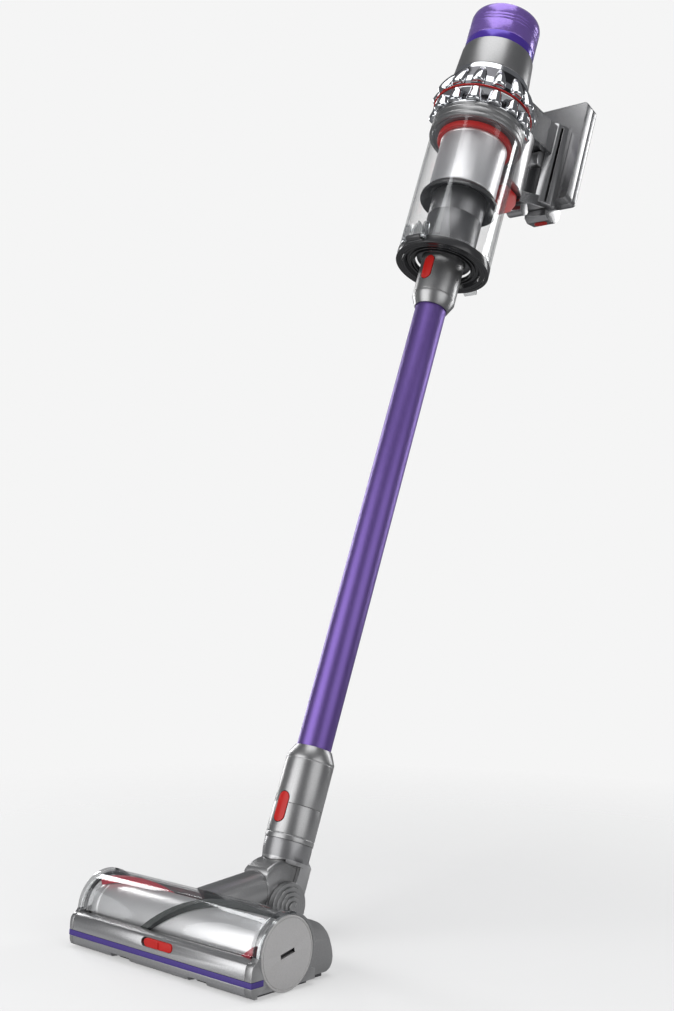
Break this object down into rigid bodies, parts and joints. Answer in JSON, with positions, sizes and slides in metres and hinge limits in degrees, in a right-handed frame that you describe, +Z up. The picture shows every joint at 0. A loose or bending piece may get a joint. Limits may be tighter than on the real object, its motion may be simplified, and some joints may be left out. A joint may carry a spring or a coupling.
{
  "type": "cordless stick vacuum",
  "caption": "Upright cordless stick vacuum with a powered floor head, slim wand, clear dust bin, ribbed cyclone collar, pistol-style handle and plate battery.",
  "frame": {"origin": "on the floor under the middle of the machine's bounding box", "axes": "+Z up, +Y from the floor head towards the user, X across the floor head"},
  "size_m": [0.2504, 0.7112, 1.0915],
  "materials": {
    "gunmetal": "satin metallic",
    "nickel": "satin metallic",
    "dark": "satin",
    "black": "gloss",
    "chrome": "polished",
    "red": "satin",
    "purple": "anodised satin",
    "clear": "clear",
    "clear_purple": "tinted clear",
    "soft": "matte",
    "steel": "machined",
    "paper": "matte",
    "copper": "wound",
    "board": "matte",
    "cell": "sleeved",
    "fibre": "matte"
  },
  "bodies": {
    "hand_unit": {"core_duct": "dark", "shroud_skirt": "black", "shroud": "nickel", "shroud_ring": "red", "cyclone_base": "dark", "cyclone_cones": "dark", "cyclone_collar": "chrome", "crown_ring": "red", "motor_housing": "gunmetal", "motor_stator": "copper", "rear_bearing": "steel", "control_board": "board", "display_housing": "black", "display_lens": "black", "bin_rail": "nickel", "grip_left": "gunmetal", "grip_right": "gunmetal", "grip_insert": "black"},
    "filter": {"filter_cap": "clear_purple", "pleated_filter": "paper"},
    "mode_key": {"mode_button": "nickel"},
    "rotor": {"motor_rotor": "steel"},
    "trigger": {"trigger": "nickel"},
    "bin_lever": {"bin_lever": "red"},
    "dust_bin": {"clear_bin": "clear", "bin_band": "nickel", "flap_pin": "steel", "bin_catch": "clear"},
    "bin_flap": {"bin_flap": "black"},
    "battery": {"battery_case": "gunmetal", "battery_cover": "nickel", "cell_pack": "cell"},
    "battery_button": {"battery_button": "red"},
    "wand": {"lower_cuff": "gunmetal", "wand_tube": "purple", "upper_cuff": "gunmetal"},
    "wand_button": {"wand_button": "red"},
    "neck": {"neck_yoke": "dark", "neck_collar": "gunmetal", "pivot_pin": "steel", "pivot_cap_right": "gunmetal", "pivot_cap_left": "gunmetal"},
    "neck_button": {"neck_button": "red"},
    "elbow": {"elbow_hood": "gunmetal"},
    "head": {"head_chassis": "gunmetal", "sole_plate": "dark", "brush_window": "clear", "front_bumper": "nickel", "soft_strip": "soft", "brush_motor": "steel", "neck_tube": "gunmetal"},
    "suction_slider": {"suction_slider": "red"},
    "brush_bar": {"brush_core": "nickel", "bristles_red": "red", "bristles_dark": "fibre"},
    "end_cap": {"end_cap": "nickel"},
    "rear_wheel_left": {"rear_wheel_left": "soft"},
    "rear_wheel_right": {"rear_wheel_right": "soft"},
    "front_roller_left": {"front_roller_left": "black"},
    "front_roller_right": {"front_roller_right": "black"}
  },
  "joints": [
    {"name": "filter_twist", "type": "hinge", "parent": "hand_unit", "child": "filter", "pos_m": [0, 0.18113, 1.04958], "axis": [0, 0.351, 0.9364], "range_deg": [0, 35]},
    {"name": "mode_key_press", "type": "slide", "parent": "hand_unit", "child": "mode_key", "axis": [0, -0.351, -0.9364], "range_m": [0, 0.001], "stiffness_N_per_m": 600, "springref_m": -0.001},
    {"name": "rotor_spin", "type": "hinge", "parent": "hand_unit", "child": "rotor", "pos_m": [0, 0.15726, 0.9859], "axis": [0, 0.351, 0.9364], "continuous": true},
    {"name": "trigger_pull", "type": "slide", "parent": "hand_unit", "child": "trigger", "axis": [0, 0.9364, -0.351], "range_m": [0, 0.005], "stiffness_N_per_m": 500, "springref_m": -0.003},
    {"name": "bin_lever_push", "type": "slide", "parent": "hand_unit", "child": "bin_lever", "axis": [0, -0.351, -0.9364], "range_m": [0, 0.006], "stiffness_N_per_m": 700, "springref_m": -0.003},
    {"name": "bin_drop", "type": "slide", "parent": "hand_unit", "child": "dust_bin", "axis": [0, -0.351, -0.9364], "range_m": [0, 0.04]},
    {"name": "flap_open", "type": "hinge", "parent": "dust_bin", "child": "bin_flap", "pos_m": [0, 0.00998, 0.76451], "axis": [-1, 0, 0], "range_deg": [0, 18]},
    {"name": "battery_off", "type": "slide", "parent": "hand_unit", "child": "battery", "axis": [0, 0.9364, -0.351], "range_m": [0, 0.03]},
    {"name": "battery_button_press", "type": "slide", "parent": "battery", "child": "battery_button", "axis": [0, 0.0558, 0.9984], "range_m": [0, 0.0022], "stiffness_N_per_m": 500, "springref_m": -0.001},
    {"name": "wand_off", "type": "slide", "parent": "hand_unit", "child": "wand", "axis": [0, -0.351, -0.9364], "range_m": [0, 0.055]},
    {"name": "wand_button_press", "type": "slide", "parent": "wand", "child": "wand_button", "axis": [0, 0.9364, -0.351], "range_m": [0, 0.002], "stiffness_N_per_m": 600, "springref_m": -0.001},
    {"name": "neck_off", "type": "slide", "parent": "wand", "child": "neck", "axis": [0, -0.351, -0.9364], "range_m": [0, 0.04]},
    {"name": "neck_button_press", "type": "slide", "parent": "neck", "child": "neck_button", "axis": [0, 0.9364, -0.351], "range_m": [0, 0.002], "stiffness_N_per_m": 600, "springref_m": -0.001},
    {"name": "elbow_pivot", "type": "hinge", "parent": "neck", "child": "elbow", "pos_m": [0, -0.19798, 0.0383], "axis": [1, 0, 0], "range_deg": [-20, 65]},
    {"name": "neck_swivel", "type": "hinge", "parent": "elbow", "child": "head", "pos_m": [0, -0.22517, 0.0563], "axis": [0, 0.996, 0.0896], "range_deg": [-60, 60]},
    {"name": "suction_slide", "type": "slide", "parent": "head", "child": "suction_slider", "axis": [-1, 0, 0], "range_m": [0, 0.0042]},
    {"name": "brush_spin", "type": "hinge", "parent": "head", "child": "brush_bar", "pos_m": [0, -0.30917, 0.034], "axis": [1, 0, 0], "continuous": true},
    {"name": "end_cap_turn", "type": "hinge", "parent": "head", "child": "end_cap", "pos_m": [0.123, -0.30917, 0.034], "axis": [1, 0, 0], "range_deg": [0, 45]},
    {"name": "rear_wheel_left_spin", "type": "hinge", "parent": "head", "child": "rear_wheel_left", "pos_m": [-0.084, -0.26117, 0.009], "axis": [1, 0, 0], "continuous": true},
    {"name": "rear_wheel_right_spin", "type": "hinge", "parent": "head", "child": "rear_wheel_right", "pos_m": [0.084, -0.26117, 0.009], "axis": [1, 0, 0], "continuous": true},
    {"name": "front_roller_left_spin", "type": "hinge", "parent": "head", "child": "front_roller_left", "pos_m": [-0.05, -0.34018, 0.0045], "axis": [1, 0, 0], "continuous": true},
    {"name": "front_roller_right_spin", "type": "hinge", "parent": "head", "child": "front_roller_right", "pos_m": [0.056, -0.34018, 0.0045], "axis": [1, 0, 0], "continuous": true}
  ]
}
